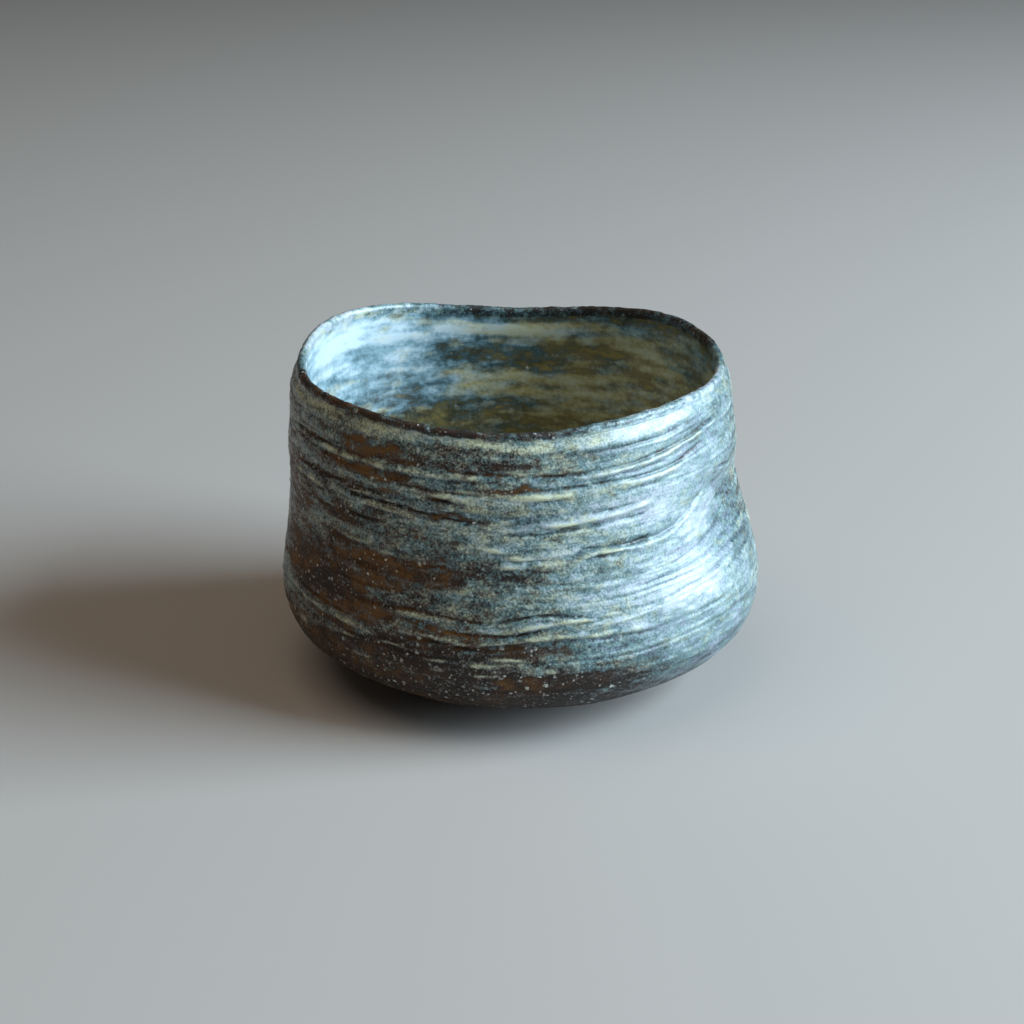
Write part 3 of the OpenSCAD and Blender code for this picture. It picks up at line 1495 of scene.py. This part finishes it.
@dataclass
class OuterGlaze(ThrownPiece):
    """The combed coat on the outside."""

    wall: CombedWall = field(kw_only=True)
    underside_rows: int = 56
    underside_length: float = 40.0
    wall_rows: int = 186
    hidden_rows: int = 12
    # The hidden side is sunk in the clay, and the shown side thins out until it just dips under
    sunk: float = 0.9
    edge_fade: float = 2.5
    edge_t: float = -0.03

    def outline(self) -> List[ProfilePoint]:
        """Give the coat's cut outline: up the shown side and down the clay's side.

        Returns:
            The points.
        """
        form = self.form
        coat = form.outer_glaze_t
        points: List[ProfilePoint] = []
        for share in steps(self.underside_rows)[:-1]:
            over, under = form.glazed_underside(share, coat), form.glazed_underside(share)
            points.append(self._shown(over, under, self.underside_length * share))
        for z in form.heights(form.outer_top, steps(self.wall_rows)):
            clay = form.wall_r(z)
            points.append(self._shown((clay + coat, z), (clay, z), form.outer_top - z))
        for z in form.heights(form.outer_top, reversed(steps(self.hidden_rows))):
            points.append(ProfilePoint(form.wall_r(z) - self.sunk, z))
        for share in reversed(steps(self.hidden_rows)[:-1]):
            points.append(ProfilePoint(*form.glazed_underside(share, -self.sunk)))
        return points

    def _shown(self, coat: Point, clay: Point, inset: float) -> ProfilePoint:
        """Thin the coat's shown side towards its edge.

        Args:
            coat: The full coat's point.
            clay: The clay's point under it.
            inset: Distance from the coat's edge.

        Returns:
            The outline's point.
        """
        full = ease(inset / self.edge_fade)
        share = between(self.edge_t / self.form.outer_glaze_t, 1.0, full)
        r, z = (between(under, over, share) for under, over in zip(clay, coat))
        return ProfilePoint(r, z, max(full, BARELY))

    def touch(self, spot: Spot) -> Touch:
        """Comb the coat and lay its glaze."""
        return self.wall.touch(spot)


@dataclass
class InnerGlaze(ThrownPiece):
    """The coat on the inside."""

    wall: PouredWall = field(kw_only=True)
    around: int = 300
    floor_rows: int = 46
    wall_rows: int = 92
    pool_rows: int = 8
    hidden_rows: int = 12
    # The hidden side is sunk in the clay, and the shown side thins out until it just dips under
    sunk: float = 0.4
    edge_fade: float = 7.0
    edge_t: float = -0.03

    def closed(self) -> bool:
        """Say that the outline runs from axis to axis."""
        return False

    def outline(self) -> List[ProfilePoint]:
        """Give the coat's cut outline: up the shown side and down the clay's side.

        Returns:
            The points.
        """
        form = self.form
        pool_h = form.floor_h + form.inner_glaze_t
        points = [ProfilePoint(form.pool_r * share, pool_h, 1.0) for share in steps(self.pool_rows)[:-1]]
        for share in steps(self.floor_rows)[:-1]:
            points.append(ProfilePoint(*form.floor(share, form.inner_glaze_t), 1.0))
        for z in form.heights(form.inner_top, steps(self.wall_rows)):
            full = ease((form.inner_top - z) / self.edge_fade)
            coat = between(self.edge_t, form.inner_glaze_t, full)
            points.append(ProfilePoint(form.inner_r(z) - coat, z, max(full, BARELY)))
        for z in form.heights(form.inner_top, reversed(steps(self.hidden_rows))):
            points.append(ProfilePoint(form.inner_r(z) + self.sunk, z))
        for share in reversed(steps(self.hidden_rows)[:-1]):
            points.append(ProfilePoint(*form.floor(share, -self.sunk)))
        points.append(ProfilePoint(0.0, form.floor_h - self.sunk))
        return points

    def touch(self, spot: Spot) -> Touch:
        """Lay the glaze."""
        return self.wall.touch(spot)


@dataclass
class ClayBody(ThrownPiece):
    """The clay itself, bare at the lip and round the foot's seat."""

    wall: CombedWall = field(kw_only=True)
    inside: PouredWall = field(kw_only=True)
    # How much paler the inside's paint is here than on its coat
    inner_gain: float = 1.2
    # How far the outside is sunk under its coat, and from what share of the way
    sunk: float = 0.8
    sunk_from: float = 0.02
    around: int = 600
    seat_rows: int = 8
    hidden_rows: int = 16
    lip_rows: int = 14
    bare_rows: int = 3
    # The closer rows at the inner coat's edge, and where the inside's paint starts
    close_rows: Tuple[float, ...] = (0.955, 0.97, 0.985, 1.0)
    painted_from: float = 0.8
    uneven: Tuple[Cloud, ...] = (Cloud(0.16, 3, 3, 0.4), Cloud(0.13, 1.2, 1.2, 2.6))

    def closed(self) -> bool:
        """Say that the outline runs from axis to axis."""
        return False

    def outline(self) -> List[ProfilePoint]:
        """Give the clay's cut outline: the seat, up the outside, over the lip and down to the floor."""
        return self._seat() + self._outside() + self._lip() + self._inside()

    def _seat(self) -> List[ProfilePoint]:
        """Give the flat seat over the foot ring and the bare clay round it.

        Returns:
            The points, from the axis outwards.
        """
        form = self.form
        flat = [ProfilePoint(form.seat_r * share, form.foot_h) for share in steps(self.seat_rows)[:-1]]
        bare = [form.underside(form.glaze_start * share) for share in steps(self.seat_rows)]
        return flat + [ProfilePoint(*point, 1.0) for point in bare]

    def _outside(self) -> List[ProfilePoint]:
        """Give the outside, sunk out of sight under the coat.

        Returns:
            The points, from the coat's start to its upper edge.
        """
        form = self.form
        rows = steps(self.hidden_rows)
        under = [form.glazed_underside(share, -self.sunk) for share in [self.sunk_from] + rows[1:-1]]
        wall = form.heights(form.outer_top, rows[:-1] + [1 - self.sunk_from])
        return [ProfilePoint(*point) for point in under + [(form.wall_r(z) - self.sunk, z) for z in wall]]

    def _lip(self) -> List[ProfilePoint]:
        """Give the bare band under the lip and the lip's rounding.

        Returns:
            The points, from the outside to the inside.
        """
        form = self.form
        points: List[ProfilePoint] = []
        for share in steps(self.bare_rows)[:-1]:
            z = between(form.outer_top, form.lip_base_h, share)
            points.append(ProfilePoint(form.wall_r(z), z, max(BARELY, share)))
        for share in steps(self.lip_rows):
            turn = math.pi * share
            r = self._lip_middle() + form.lip_t / 2 * math.cos(turn)
            z = form.lip_base_h + form.lip_t / 2 * math.sin(turn)
            points.append(ProfilePoint(r, z, max(BARELY, ease(2 - 2 * share))))
        return points

    def _inside(self) -> List[ProfilePoint]:
        """Give the inside under its coat, painted alike where the coat thins out.

        Returns:
            The points, from the coat's edge to the axis.
        """
        form = self.form
        rows = steps(self.hidden_rows)[:-1]
        points: List[ProfilePoint] = []
        for share in reversed(rows + list(self.close_rows)):
            z = between(form.belly_h, form.inner_top, share)
            points.append(ProfilePoint(form.inner_r(z), z, BARELY if share > self.painted_from else 0.0))
        points += [ProfilePoint(*form.floor(share)) for share in reversed(rows)]
        points.append(ProfilePoint(0.0, form.floor_h))
        return points

    def _lip_middle(self) -> float:
        """Give the radius of the middle of the lip."""
        return self.form.wall_r(self.form.lip_base_h) - self.form.lip_t / 2

    def touch(self, spot: Spot) -> Touch:
        """Leave the bare clay a little uneven, with the coats' glaze along the lip.

        Args:
            spot: A place on the clay.

        Returns:
            How far the clay stands out there, and its coat.
        """
        coat = BARE_CLAY
        if spot.height >= self.form.belly_h:
            if spot.r < self._lip_middle():
                coat = self.inside.touch(spot).coat
                coat = replace(coat, glaze=coat.glaze * self.inner_gain)
            else:
                coat = self.wall.touch(spot).coat
        return Touch(cloud_sum(self.uneven, spot), coat)


@dataclass
class FootRing(ThrownPiece):
    """The ring that the bowl stands on."""

    around: int = 200
    edge_rows: int = 8
    side_rows: int = 8
    rough: Cloud = Cloud(0.12, 2.5, 1.2, 0.9)

    def outline(self) -> List[ProfilePoint]:
        """Give the ring's cut outline, with its two round standing edges.

        Returns:
            The points.
        """
        form = self.form
        outer = form.foot_d / 2
        inner = outer - form.foot_w
        edge = form.foot_edge_r
        points: List[ProfilePoint] = []
        for share in steps(self.edge_rows):
            turn = math.pi / 2 * share
            r = outer - edge + edge * math.sin(turn)
            points.append(ProfilePoint(r, edge - edge * math.cos(turn), ease(share)))
        for share in steps(self.side_rows)[1:]:
            points.append(ProfilePoint(outer, between(edge, form.foot_h, share), 1 - ease(share)))
        for share in steps(self.side_rows)[:-1]:
            points.append(ProfilePoint(inner, between(form.foot_h, edge, share), ease(share)))
        for share in steps(self.edge_rows):
            turn = math.pi / 2 * share
            r = inner + edge - edge * math.cos(turn)
            points.append(ProfilePoint(r, edge - edge * math.sin(turn), 1 - ease(share)))
        return points

    def touch(self, spot: Spot) -> Touch:
        """Leave the turned sides a little rough."""
        return Touch(self.rough.at(spot), BARE_CLAY)


FRONT_LINES = (
    # The two long wavy ridges across the front, low down
    ridge(
        (240, 28.6), (247, 29.4), (253, 29.0), (257, 28.3),
        (264, 29.0), (271, 30.0), (279, 30.5), (303, 29.7),
    ),
    ridge((262, 31.0), (268, 31.9), (275, 33.5), (281, 34.0), (290, 33.2)),
    ridge((237, 33.2), (245, 33.6), (251, 33.0), (255, 31.6), strength=0.7),
    groove((250, 31.4), (257, 30.6), (265, 30.7), (275, 32.2)),
    groove((238, 34.4), (249, 34.8), (262, 33.8), (269, 35.0), (275, 35.7), (281, 35.2), (288, 34.4)),
    groove((252, 27.6), (262, 27.0), (272, 28.4)),
    # The ridges and grooves round the waist
    ridge((275, 56.7), (285, 57.2), (295, 57.7), (306, 58.4), strength=1.5),
    groove((265, 55.1), (278, 55.2), (295, 55.8), (306, 56.6)),
    groove((288, 59.0), (296, 58.9), (303, 59.4)),
    ridge((230, 57.4), (240, 57.8), (248, 57.2), strength=1.1),
    groove((228, 59.0), (237, 59.2), (245, 59.0), (251, 58.5), (264, 57.6)),
    ridge((200, 58.3), (212, 58.0), (223, 57.5)),
    ridge((201, 55.0), (207, 54.9), (213, 54.6)),
    ridge((226, 60.0), (232, 60.2), (238, 60.0), strength=0.8),
    groove((247, 61.8), (252, 62.7), (256, 62.2), (260, 60.6)),
    groove((203, 60.4), (216, 61.2), (230, 61.6)),
    # The lines under the lip
    ridge((217, 67.7), (233, 67.7), (251, 68.2), (266, 68.5)),
    groove((201, 69.0), (222, 68.9), (238, 69.2)),
    groove((256, 69.9), (270, 69.4), (295, 68.7), (308, 69.3), (320, 70.6), (336, 72.3)),
    ridge((284, 67.8), (305, 68.1), (315, 69.3), (325, 70.3), (335, 71.2)),
    groove((276, 65.8), (295, 65.7), (305, 65.3), (313, 65.7), (319, 66.8), (327, 68.4)),
    ridge((249, 63.7), (255, 63.3), (263, 63.3)),
    ridge((269, 63.5), (278, 64.0), (287, 64.8)),
    ridge((294, 63.9), (306, 64.1), (316, 65.0)),
    groove((295, 72.8), (312, 73.0), (330, 74.0), strength=0.7),
    groove((242, 64.9), (256, 64.6), (268, 64.9), strength=0.7),
    # The crease that runs up into the dent, and the little arcs under it
    crease((281, 47.4), (285, 49.6), (291, 50.2), (308, 50.3), (315, 51.9), (321, 54.6), (326, 57.4)),
    ridge((283, 47.9), (287, 49.1), (292, 49.4), (299, 48.9)),
    groove((285, 47.6), (290, 48.4), (295, 47.2), (298, 45.4), strength=0.7),
    groove((247, 45.7), (253, 46.0), (258, 43.9)),
    groove((270, 46.6), (277, 46.0), (283, 46.8), strength=0.7),
    ridge((214, 49.0), (227, 48.3), (236, 48.0), strength=0.7),
    groove((224, 54.8), (233, 54.2), (241, 54.8)),
    # The soft lines that sweep across the dent
    groove((288, 35.0), (300, 35.2), (315, 36.5), (336, 39.0), strength=0.6),
    groove((296, 39.6), (315, 40.7), (336, 42.3), strength=0.6),
    groove((306, 42.2), (320, 44.0), (340, 45.8), strength=0.6),
    groove((318, 35.0), (335, 36.2), (352, 37.0), strength=0.6),
    groove((330, 50.4), (340, 49.6), (352, 47.4), strength=0.5),
    groove((328, 60.2), (338, 58.6), (350, 56.0)),
    # The broad folds of the dent, painted lighter as highlight on the raised ones and darker as shade in the
    # hollow one
    fold((303, 45.0), (312, 46.6), (320, 49.0), (330, 51.6), (338, 52.0)),
    fold((316, 58.8), (327, 57.0), (338, 53.6), (348, 50.0), (360, 47.0), rise=-0.65, glaze=-0.15),
    fold((300, 33.0), (312, 33.6), (326, 33.4), rise=0.5, glaze=0.14),
    # The faint pair on the left, low down
    ridge((200, 29.0), (215, 27.9), (237, 26.9), strength=0.8),
    groove((203, 30.8), (216, 30.0), (230, 29.0)),
    # Short cream dabs in the middle of the front and near the foot
    dab((264, 47.5), (268, 47.1), (272, 47.4)),
    dab((267, 49.6), (271, 49.2), (276, 49.5)),
    dab((261, 51.6), (265, 51.2), (269, 51.3)),
    dab((247, 23.2), (251, 23.4), (255, 23.2)),
    dab((257, 23.0), (261, 22.8), (265, 23.0)),
    dab((248, 21.2), (252, 21.3), (256, 21.5)),
    dab((262, 24.7), (266, 24.9), (271, 24.8)),
    dab((235, 25.4), (239, 25.6), (243, 25.5)),
    dab((227, 20.4), (231, 20.2), (235, 20.5)),
    dab((242, 19.4), (246, 19.2), (251, 19.5)),
    dab((258, 20.4), (262, 20.6), (266, 20.5)),
    dab((271, 21.8), (275, 21.9), (279, 21.7)),
    dab((222, 24.6), (226, 24.4), (230, 24.5)),
)
BACK_SCATTER = LineScatter(345, 505, count=40, strength=0.9, seed=5)
FRONT_SCATTER = LineScatter(235, 345, count=9, strength=0.4, seed=8)

BARE_RUST = Coat(-0.38, 0.3, 0.25, calm=0.4)
BRIGHT_RUST = Coat(-0.42, 0.4, 0.85, calm=0.4)
DEEP_RUST = Coat(-0.40, 0.3, calm=0.3)
THIN_SLATE = Coat(-0.26, -0.1, -0.3)
DARK_BROWN = Coat(-0.32, 0.4)
PALE_CREAM = Coat(0.24, 0.5)
PALE_BLUE = Coat(0.16, -0.2, -0.2)
GRITTY = Coat(-0.10, 0.2, -0.1, 0.4)

FRONT_PATCHES = (
    # Bare rust, on the left and along the deepest grooves
    CoatPatch(247, 43.6, 11, 4.0, BARE_RUST),
    CoatPatch(226, 43.0, 14, 5.0, BARE_RUST),
    CoatPatch(206, 36.0, 12, 6.0, DEEP_RUST),
    CoatPatch(236, 71.2, 11, 1.8, BRIGHT_RUST),
    CoatPatch(236, 65.8, 14, 1.2, BRIGHT_RUST),
    CoatPatch(241, 62.6, 4, 1.2, BRIGHT_RUST),
    CoatPatch(254, 58.4, 10, 0.8, BRIGHT_RUST),
    CoatPatch(224, 52.0, 5, 1.4, BARE_RUST),
    CoatPatch(271, 27.4, 8, 1.4, BARE_RUST),
    CoatPatch(230, 33.0, 16, 3.5, DEEP_RUST),
    CoatPatch(235, 24.0, 22, 4.0, DEEP_RUST),
    CoatPatch(271, 65.8, 8, 0.8, BARE_RUST),
    # Dark slate where the glaze is thin
    CoatPatch(269, 72.0, 17, 2.2, DARK_BROWN),
    CoatPatch(234, 53.2, 6, 1.6, THIN_SLATE),
    CoatPatch(270, 44.8, 8, 2.0, THIN_SLATE),
    CoatPatch(283, 18.5, 18, 3.0, DARK_BROWN),
    CoatPatch(220, 61.0, 17, 1.2, THIN_SLATE),
    # The far left edge is painted darker as shade
    CoatPatch(199, 50.0, 13, 20, Coat(-0.18, 0.1, 0.1)),
    CoatPatch(199, 61.0, 12, 12, Coat(-0.07, 0.1, 0.1)),
    # The low right is painted darker and bluer as shade
    CoatPatch(328, 17.0, 28, 6.0, Coat(-0.10, -0.3, -0.2)),
    CoatPatch(345, 38.0, 12, 7.0, Coat(-0.08, -0.1)),
    CoatPatch(336, 73.0, 20, 6.0, Coat(-0.05, -0.1)),
    CoatPatch(322, 70.0, 9, 7.0, Coat(-0.06, -0.1)),
    CoatPatch(330, 40.0, 14, 4.0, Coat(-0.05, -0.2)),
    # Cream and pale blue where it is thick
    CoatPatch(214, 76.0, 18, 1.4, PALE_CREAM),
    CoatPatch(243, 75.6, 6, 2.0, PALE_CREAM),
    CoatPatch(266, 76.2, 12, 1.4, PALE_CREAM),
    CoatPatch(300, 76.0, 28, 1.9, PALE_CREAM),
    CoatPatch(321, 48.0, 12, 5.0, PALE_BLUE),
    CoatPatch(316, 38.0, 18, 4.0, PALE_BLUE),
    CoatPatch(307, 58.0, 12, 4.5, Coat(0.20, -0.2, -0.2)),
    CoatPatch(286, 58.0, 12, 3.0, PALE_BLUE),
    CoatPatch(288, 53.0, 16, 18, Coat(0.05, 0.1, -0.1)),
    CoatPatch(293, 40.0, 9, 4.0, Coat(0.13, -0.2, -0.1)),
    CoatPatch(283, 76.0, 10, 2.0, Coat(0.07)),
    CoatPatch(277, 46.0, 9, 20, Coat(0.04)),
    CoatPatch(247, 50.0, 9, 14, Coat(0.04)),
    # The dent's upper side is painted violet-grey as shade
    CoatPatch(338, 53.0, 10, 8.0, Coat(0.03, -0.4)),
    CoatPatch(300, 13.0, 14, 4.0, Coat(0.07, -0.3)),
    CoatPatch(262, 54.0, 12, 4.0, PALE_BLUE),
    CoatPatch(332, 12.5, 30, 4.0, Coat(0.32, -0.2, -0.2)),
    # Grit, thickest low down on the front
    CoatPatch(256, 20.0, 16, 4.5, GRITTY),
    CoatPatch(284, 19.0, 16, 4.0, GRITTY),
    CoatPatch(240, 38.6, 12, 2.0, GRITTY),
    CoatPatch(225, 45.0, 25, 9.0, Coat(grit=0.06)),
)

INNER_PATCHES = (
    # Pale blue on the left, palest under the lip
    CoatPatch(148, 76.0, 30, 12, Coat(0.40, -0.2, -0.5, calm=0.5)),
    CoatPatch(165, 58.0, 44, 16, Coat(0.14, -0.3, -0.5, calm=0.2)),
    CoatPatch(132, 69.5, 12, 4.0, Coat(0.14, -0.1, -0.1, calm=0.1)),
    CoatPatch(108, 76.0, 12, 2.0, Coat(0.10, -0.1)),
    CoatPatch(155, 60.0, 12, 6.0, Coat(-0.08, -0.2)),
    CoatPatch(114, 56.0, 14, 6.0, Coat(-0.02, -0.7, -0.1)),
    CoatPatch(114, 67.5, 14, 3.2, Coat(0.13, -0.5, -0.1)),
    # Bands across the back: dark teal, sage, dark teal again and straw
    CoatPatch(70, 77.4, 48, 1.8, Coat(-0.22, -0.6, -0.4)),
    CoatPatch(92, 72.5, 34, 2.8, Coat(0.24, 0.1, -0.3)),
    CoatPatch(96, 66.0, 30, 2.6, Coat(-0.18, -0.3, -0.2)),
    CoatPatch(72, 57.0, 32, 3.4, Coat(0.14, 0.5, 0.2)),
    CoatPatch(108, 45.0, 40, 4.0, Coat(-0.16, 0.1)),
    CoatPatch(112, 48.0, 16, 3.0, Coat(-0.22, -0.1)),
    # Olive and gold on the right and over the floor
    CoatPatch(30, 48.0, 62, 26, Coat(-0.04, 0.6, 0.7)),
    CoatPatch(90, 24.0, 120, 20, Coat(0.02, 0.4, 0.5)),
    CoatPatch(57, 68.5, 12, 3.0, Coat(0.15, 0.3, 0.3)),
    CoatPatch(66, 51.5, 16, 3.0, Coat(0.16, 0.2, 0.2)),
    # Glints of gold, with dark brown between them
    CoatPatch(50, 67.0, 8, 2.4, Coat(0.26, 0.9, 0.5)),
    CoatPatch(42, 63.0, 8, 1.8, Coat(0.22, 0.8, 0.4)),
    CoatPatch(75, 58.0, 8, 1.8, Coat(0.20, 0.8, 0.4)),
    CoatPatch(61, 65.5, 10, 2.0, Coat(-0.28, 0.3)),
    CoatPatch(74, 69.0, 7, 1.8, Coat(-0.28)),
    CoatPatch(50, 60.0, 10, 1.6, Coat(-0.24, 0.3)),
)


@dataclass(frozen=True)
class Lamp:
    """A soft square lamp that faces the bowl.

    Its side is the angle from the camera towards the right, and its height the angle above the floor.
    """

    name: str
    side: float
    height: float
    size: float
    power: float
    colour: Colour
    distance: float = 1.5

    def make(self) -> bpy.types.Object:
        """Make the lamp.

        Returns:
            The lamp, which has yet to be placed.
        """
        light = bpy.data.lights.new(self.name, "AREA")
        light.shape = "SQUARE"
        light.size = self.size
        light.energy = self.power
        light.color = self.colour
        return bpy.data.objects.new(self.name, light)


@dataclass
class Studio:
    """The floor, the lights and the camera, with its sizes in metres."""

    floor_size: float = 3.0
    floor: FloorFinish = FloorFinish()
    view_distance: float = 0.541
    view_height: float = 20.9
    view_target: Tuple[float, float, float] = (-0.00226, 0.00222, 0.0375)
    lens: float = 75.0
    sensor: float = 36.0
    nearest: float = 0.01
    lamps: Tuple[Lamp, ...] = (
        Lamp("key_light", side=80, height=26, size=1.1, power=58.0, colour=(0.66, 0.85, 1.0)),
        Lamp("fill_light", side=300, height=72, size=1.2, power=5.0, colour=(1.0, 0.86, 0.70)),
    )
    sky: Colour = (1.0, 0.93, 0.84)
    sky_strength: float = 0.06

    def build(self) -> None:
        """Set up the whole studio."""
        self._floor()
        self._room()
        for lamp in self.lamps:
            self._aim(lamp.make(), lamp.side, lamp.height, lamp.distance)
        self._camera()

    def _floor(self) -> None:
        """Lay the floor."""
        mesh = bmesh.new()
        bmesh.ops.create_grid(mesh, x_segments=1, y_segments=1, size=self.floor_size)
        data = bpy.data.meshes.new("floor")
        mesh.to_mesh(data)
        mesh.free()
        data.materials.append(self.floor.material())
        floor = bpy.data.objects.new("floor", data)
        bpy.context.scene.collection.objects.link(floor)

    def _room(self) -> None:
        """Light the room softly from all round, and show its colours as they are."""
        world = bpy.data.worlds.new("room")
        world.use_nodes = True
        background = world.node_tree.nodes["Background"]
        background.inputs["Color"].default_value = (*self.sky, 1.0)
        background.inputs["Strength"].default_value = self.sky_strength
        bpy.context.scene.world = world
        bpy.context.scene.view_settings.view_transform = "Standard"

    def _camera(self) -> None:
        """Set up the camera at the photograph's angle."""
        camera = bpy.data.cameras.new("camera")
        camera.lens = self.lens
        camera.sensor_width = self.sensor
        camera.clip_start = self.nearest
        thing = bpy.data.objects.new("camera", camera)
        self._aim(thing, 0.0, self.view_height, self.view_distance)
        bpy.context.scene.camera = thing

    def _aim(self, thing: bpy.types.Object, side: float, height: float, distance: float) -> None:
        """Place a lamp or camera around the bowl and turn it to the bowl's middle.

        Args:
            thing: The lamp or camera.
            side: Angle from the bowl's front towards its right.
            height: Angle above the floor.
            distance: Distance from the bowl's middle.
        """
        turn, lift = math.radians(side), math.radians(height)
        back = Vector((math.sin(turn) * math.cos(lift), -math.cos(turn) * math.cos(lift), math.sin(lift)))
        thing.location = Vector(self.view_target) + distance * back
        thing.rotation_euler = (-back).to_track_quat("-Z", "Y").to_euler()
        bpy.context.scene.collection.objects.link(thing)


def main() -> None:
    """Build the bowl's pieces in order, then the studio round them."""
    logging.basicConfig(level=logging.INFO, format="%(name)s: %(message)s")
    form = BowlForm.from_frame()
    lines = FRONT_LINES + tuple(BACK_SCATTER.lines() + FRONT_SCATTER.lines())
    outside = CombedWall(form, lines, FRONT_PATCHES)
    inside = PouredWall(form, INNER_PATCHES)
    pieces = (
        ClayBody(form, "clay_body_piece", Node.CLAY, Slot.CLAY, CLAY_FINISH, wall=outside, inside=inside),
        FootRing(form, "foot_ring_piece", Node.FOOT, Slot.CLAY, CLAY_FINISH),
        OuterGlaze(form, "outer_glaze_piece", Node.OUTER, Slot.OUTER, OUTER_FINISH, wall=outside),
        InnerGlaze(form, "inner_glaze_piece", Node.INNER, Slot.INNER, INNER_FINISH, wall=inside),
    )
    for piece in pieces:
        made = piece.build()
        LOG.info("%s: %d faces", made.name, len(made.data.polygons))
    Studio().build()


if __name__ == "__main__":
    main()
